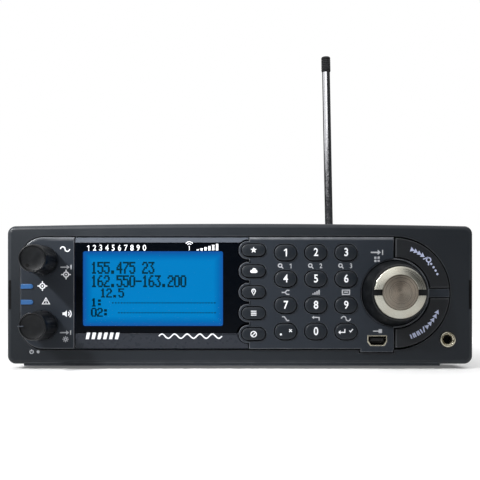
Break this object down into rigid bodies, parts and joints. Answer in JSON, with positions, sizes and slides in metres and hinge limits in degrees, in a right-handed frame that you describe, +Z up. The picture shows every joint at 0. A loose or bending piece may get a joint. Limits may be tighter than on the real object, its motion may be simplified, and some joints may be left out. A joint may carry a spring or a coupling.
{
  "type": "scanning radio receiver",
  "caption": "Car-radio sized scanning receiver with keypad, lit display, push-and-turn knobs and an upright telescopic antenna.",
  "frame": {"origin": "on the desk, below the middle of the whole length from the knobs to the antenna's elbow", "axes": "+X to the right as a user faces the front panel, +Y into the radio, +Z up"},
  "size_m": [0.184, 0.194, 0.1787],
  "materials": {
    "bezel": "fine moulded grain",
    "panel": "fine moulded grain, slightly satin",
    "window": "clear acrylic with a black printed border",
    "screen": "blue backlit display behind a metal frame",
    "mat": "silicone",
    "board": "glass fibre board with solder mask",
    "nickel": "warm nickel plating",
    "light_pipe": "blue translucent acrylic",
    "tin_plate": "tin plate",
    "knob": "black, satin",
    "turned_metal": "fine turned rings",
    "case_paint": "black baked paint, fine texture",
    "speaker_frame": "paper cone in a pressed frame",
    "foot_rubber": "moulded rubber",
    "black_plastic": "plain black",
    "chrome": "bright plating on brass tube",
    "tip_plastic": "black moulded cap",
    "key": "satin, with white printed legends"
  },
  "bodies": {
    "radio": {"front_bezel": "bezel", "control_panel": "panel", "display_window": "window", "display_module": "screen", "keypad_mat": "mat", "control_board": "board", "main_board": "board", "usb_port": "nickel", "headphone_jack": "nickel", "upper_light_pipe": "light_pipe", "lower_light_pipe": "light_pipe", "squelch_control": "tin_plate", "volume_control": "tin_plate", "dial_encoder": "tin_plate", "bottom_tray": "case_paint", "top_cover": "case_paint", "rear_panel": "case_paint", "tuner_shield": "tin_plate", "speaker": "speaker_frame", "foot_front_left": "foot_rubber", "foot_front_right": "foot_rubber", "foot_rear_left": "foot_rubber", "foot_rear_right": "foot_rubber", "antenna_jack": "nickel", "record_jack": "black_plastic", "speaker_jack": "black_plastic", "power_jack": "black_plastic", "serial_port": "tin_plate"},
    "antenna_base": {"antenna_plug": "nickel"},
    "antenna_lock": {"antenna_collar": "nickel"},
    "antenna_mast": {"antenna_tube_outer": "chrome"},
    "antenna_middle": {"antenna_tube_middle": "chrome"},
    "antenna_inner": {"antenna_tube_inner": "chrome"},
    "antenna_end": {"antenna_tip": "tip_plastic"},
    "squelch_push": {"squelch_shaft": "tin_plate"},
    "squelch_turn": {"squelch_knob": "knob"},
    "volume_push": {"volume_shaft": "tin_plate"},
    "volume_turn": {"volume_knob": "knob"},
    "dial_push": {"dial_shaft": "tin_plate"},
    "dial_turn": {"dial_knob": "knob", "dial_cap": "turned_metal"},
    "key_1": {"key_1": "key"},
    "key_2": {"key_2": "key"},
    "key_3": {"key_3": "key"},
    "key_4": {"key_4": "key"},
    "key_5": {"key_5": "key"},
    "key_6": {"key_6": "key"},
    "key_7": {"key_7": "key"},
    "key_8": {"key_8": "key"},
    "key_9": {"key_9": "key"},
    "key_dot": {"key_dot": "key"},
    "key_0": {"key_0": "key"},
    "key_enter": {"key_enter": "key"},
    "key_priority": {"key_priority": "key"},
    "key_weather": {"key_weather": "key"},
    "key_location": {"key_location": "key"},
    "key_menu": {"key_menu": "key"},
    "key_lockout": {"key_lockout": "key"},
    "key_scan": {"key_scan": "key"},
    "key_hold": {"key_hold": "key"}
  },
  "joints": [
    {"name": "antenna_swivel", "type": "hinge", "parent": "radio", "child": "antenna_base", "pos_m": [0.056, 0.0666, 0.03], "axis": [0, 1, 0], "continuous": true},
    {"name": "antenna_fold", "type": "hinge", "parent": "antenna_base", "child": "antenna_mast", "pos_m": [0.056, 0.0924, 0.03], "axis": [-0.9998, 0, -0.0192], "range_deg": [0, 90]},
    {"name": "antenna_middle_slide", "type": "slide", "parent": "antenna_mast", "child": "antenna_middle", "axis": [-0.0192, 0, 0.9998], "range_m": [0, 0.11]},
    {"name": "antenna_inner_slide", "type": "slide", "parent": "antenna_middle", "child": "antenna_inner", "axis": [-0.0192, 0, 0.9998], "range_m": [0, 0.11]},
    {"name": "antenna_end_slide", "type": "slide", "parent": "antenna_inner", "child": "antenna_end", "axis": [-0.0192, 0, 0.9998], "range_m": [0, 0.11]},
    {"name": "antenna_lock_turn", "type": "hinge", "parent": "radio", "child": "antenna_lock", "pos_m": [0.056, 0.0666, 0.03], "axis": [0, 1, 0], "range_deg": [0, 75]},
    {"name": "squelch_push", "type": "slide", "parent": "radio", "child": "squelch_push", "axis": [0, 1, 0], "range_m": [0, 0.0008], "stiffness_N_per_m": 300, "springref_m": -0.0008},
    {"name": "squelch_turn", "type": "hinge", "parent": "squelch_push", "child": "squelch_turn", "pos_m": [-0.0772, -0.0794, 0.0424], "axis": [0, 1, 0], "range_deg": [0, 300]},
    {"name": "volume_push", "type": "slide", "parent": "radio", "child": "volume_push", "axis": [0, 1, 0], "range_m": [0, 0.0008], "stiffness_N_per_m": 300, "springref_m": -0.0008},
    {"name": "volume_turn", "type": "hinge", "parent": "volume_push", "child": "volume_turn", "pos_m": [-0.0772, -0.0794, 0.0171], "axis": [0, 1, 0], "range_deg": [-60, 240]},
    {"name": "dial_push", "type": "slide", "parent": "radio", "child": "dial_push", "axis": [0, 1, 0], "range_m": [0, 0.0008], "stiffness_N_per_m": 300, "springref_m": -0.0008},
    {"name": "dial_turn", "type": "hinge", "parent": "dial_push", "child": "dial_turn", "pos_m": [0.0607, -0.0794, 0.02975], "axis": [0, 1, 0], "continuous": true},
    {"name": "key_1_press", "type": "slide", "parent": "radio", "child": "key_1", "axis": [0, 1, 0], "range_m": [0, 0.0008], "stiffness_N_per_m": 150, "springref_m": -0.0008},
    {"name": "key_2_press", "type": "slide", "parent": "radio", "child": "key_2", "axis": [0, 1, 0], "range_m": [0, 0.0008], "stiffness_N_per_m": 150, "springref_m": -0.0008},
    {"name": "key_3_press", "type": "slide", "parent": "radio", "child": "key_3", "axis": [0, 1, 0], "range_m": [0, 0.0008], "stiffness_N_per_m": 150, "springref_m": -0.0008},
    {"name": "key_4_press", "type": "slide", "parent": "radio", "child": "key_4", "axis": [0, 1, 0], "range_m": [0, 0.0008], "stiffness_N_per_m": 150, "springref_m": -0.0008},
    {"name": "key_5_press", "type": "slide", "parent": "radio", "child": "key_5", "axis": [0, 1, 0], "range_m": [0, 0.0008], "stiffness_N_per_m": 150, "springref_m": -0.0008},
    {"name": "key_6_press", "type": "slide", "parent": "radio", "child": "key_6", "axis": [0, 1, 0], "range_m": [0, 0.0008], "stiffness_N_per_m": 150, "springref_m": -0.0008},
    {"name": "key_7_press", "type": "slide", "parent": "radio", "child": "key_7", "axis": [0, 1, 0], "range_m": [0, 0.0008], "stiffness_N_per_m": 150, "springref_m": -0.0008},
    {"name": "key_8_press", "type": "slide", "parent": "radio", "child": "key_8", "axis": [0, 1, 0], "range_m": [0, 0.0008], "stiffness_N_per_m": 150, "springref_m": -0.0008},
    {"name": "key_9_press", "type": "slide", "parent": "radio", "child": "key_9", "axis": [0, 1, 0], "range_m": [0, 0.0008], "stiffness_N_per_m": 150, "springref_m": -0.0008},
    {"name": "key_dot_press", "type": "slide", "parent": "radio", "child": "key_dot", "axis": [0, 1, 0], "range_m": [0, 0.0008], "stiffness_N_per_m": 150, "springref_m": -0.0008},
    {"name": "key_0_press", "type": "slide", "parent": "radio", "child": "key_0", "axis": [0, 1, 0], "range_m": [0, 0.0008], "stiffness_N_per_m": 150, "springref_m": -0.0008},
    {"name": "key_enter_press", "type": "slide", "parent": "radio", "child": "key_enter", "axis": [0, 1, 0], "range_m": [0, 0.0008], "stiffness_N_per_m": 150, "springref_m": -0.0008},
    {"name": "key_priority_press", "type": "slide", "parent": "radio", "child": "key_priority", "axis": [0, 1, 0], "range_m": [0, 0.0008], "stiffness_N_per_m": 150, "springref_m": -0.0008},
    {"name": "key_weather_press", "type": "slide", "parent": "radio", "child": "key_weather", "axis": [0, 1, 0], "range_m": [0, 0.0008], "stiffness_N_per_m": 150, "springref_m": -0.0008},
    {"name": "key_location_press", "type": "slide", "parent": "radio", "child": "key_location", "axis": [0, 1, 0], "range_m": [0, 0.0008], "stiffness_N_per_m": 150, "springref_m": -0.0008},
    {"name": "key_menu_press", "type": "slide", "parent": "radio", "child": "key_menu", "axis": [0, 1, 0], "range_m": [0, 0.0008], "stiffness_N_per_m": 150, "springref_m": -0.0008},
    {"name": "key_lockout_press", "type": "slide", "parent": "radio", "child": "key_lockout", "axis": [0, 1, 0], "range_m": [0, 0.0008], "stiffness_N_per_m": 150, "springref_m": -0.0008},
    {"name": "key_scan_press", "type": "slide", "parent": "radio", "child": "key_scan", "axis": [0, 1, 0], "range_m": [0, 0.0008], "stiffness_N_per_m": 150, "springref_m": -0.0008},
    {"name": "key_hold_press", "type": "slide", "parent": "radio", "child": "key_hold", "axis": [0, 1, 0], "range_m": [0, 0.0008], "stiffness_N_per_m": 150, "springref_m": -0.0008}
  ]
}
